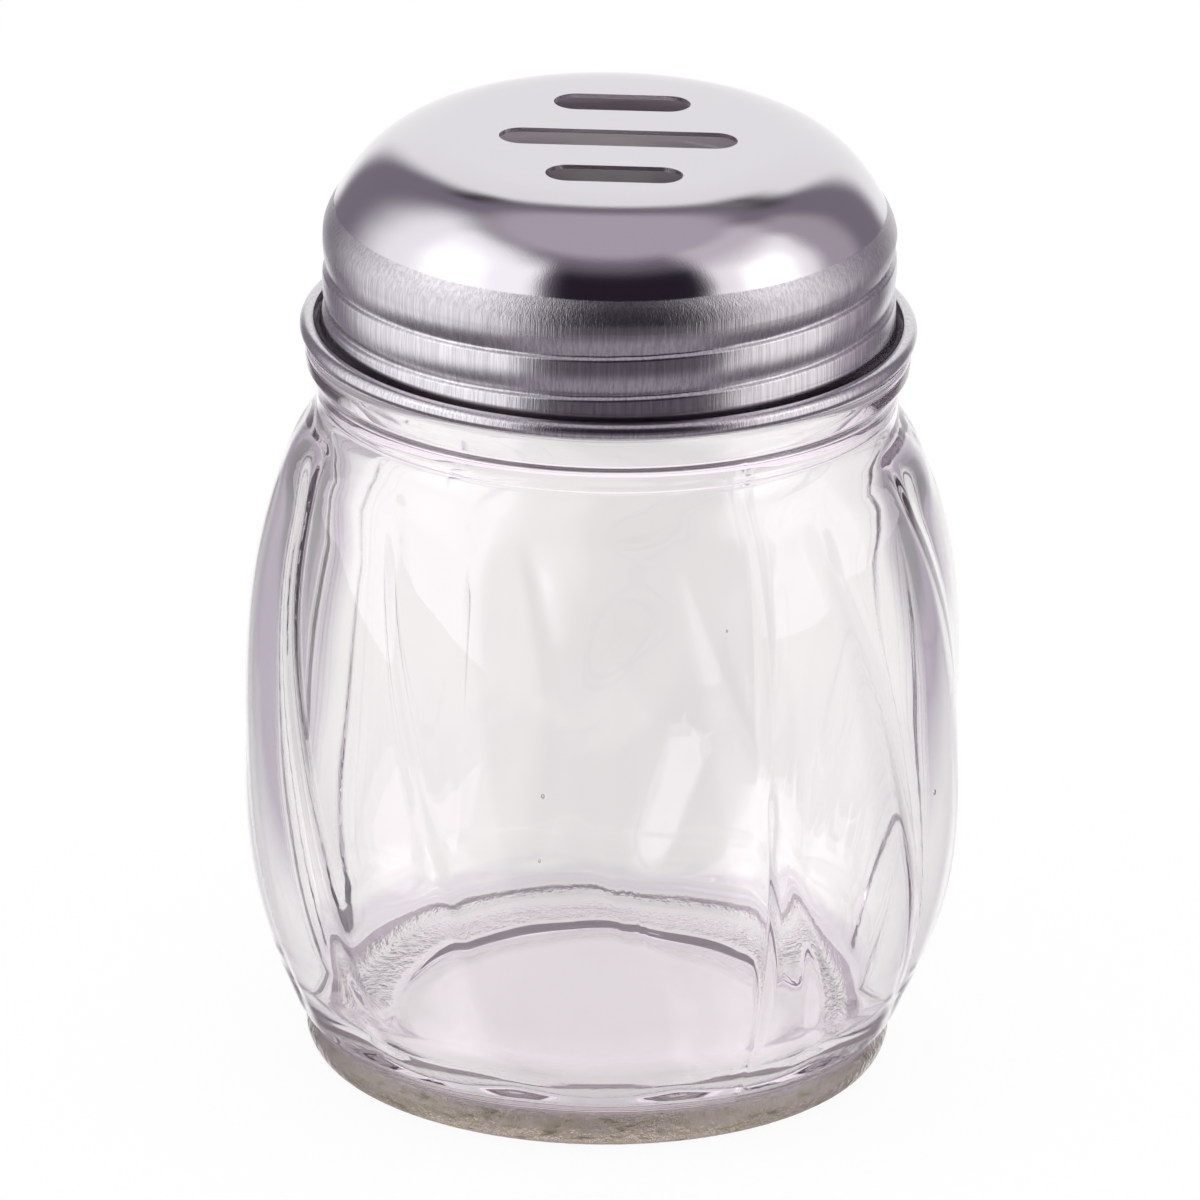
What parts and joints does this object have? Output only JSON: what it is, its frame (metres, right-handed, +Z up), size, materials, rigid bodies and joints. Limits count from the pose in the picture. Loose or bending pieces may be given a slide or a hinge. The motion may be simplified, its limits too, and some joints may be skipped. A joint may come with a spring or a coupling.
{
  "type": "parmesan shaker",
  "caption": "Squat clear glass shaker jar with a swirled, fluted belly and a domed, slotted steel screw lid for grated cheese or dried flakes.",
  "frame": {"origin": "centre of the circle that the jar stands on, at table height", "axes": "+Z up the jar's axis; +X along the lid's slots; -Y towards the viewer of the picture"},
  "size_m": [0.0728, 0.0728, 0.0984],
  "materials": {
    "clear_glass": "fire-polished clear pressed glass, smooth, with a faint lilac cast and a warmer foot",
    "stainless_steel": "polished dome and fine upright brushing on the skirt"
  },
  "bodies": {
    "jar": {"glass_jar": "clear_glass"},
    "lid": {"slotted_lid": "stainless_steel"}
  },
  "joints": [
    {"name": "lid_lift", "type": "slide", "parent": "jar", "child": "lid", "axis": [0, 0, 1], "range_m": [0, 0.04]}
  ]
}
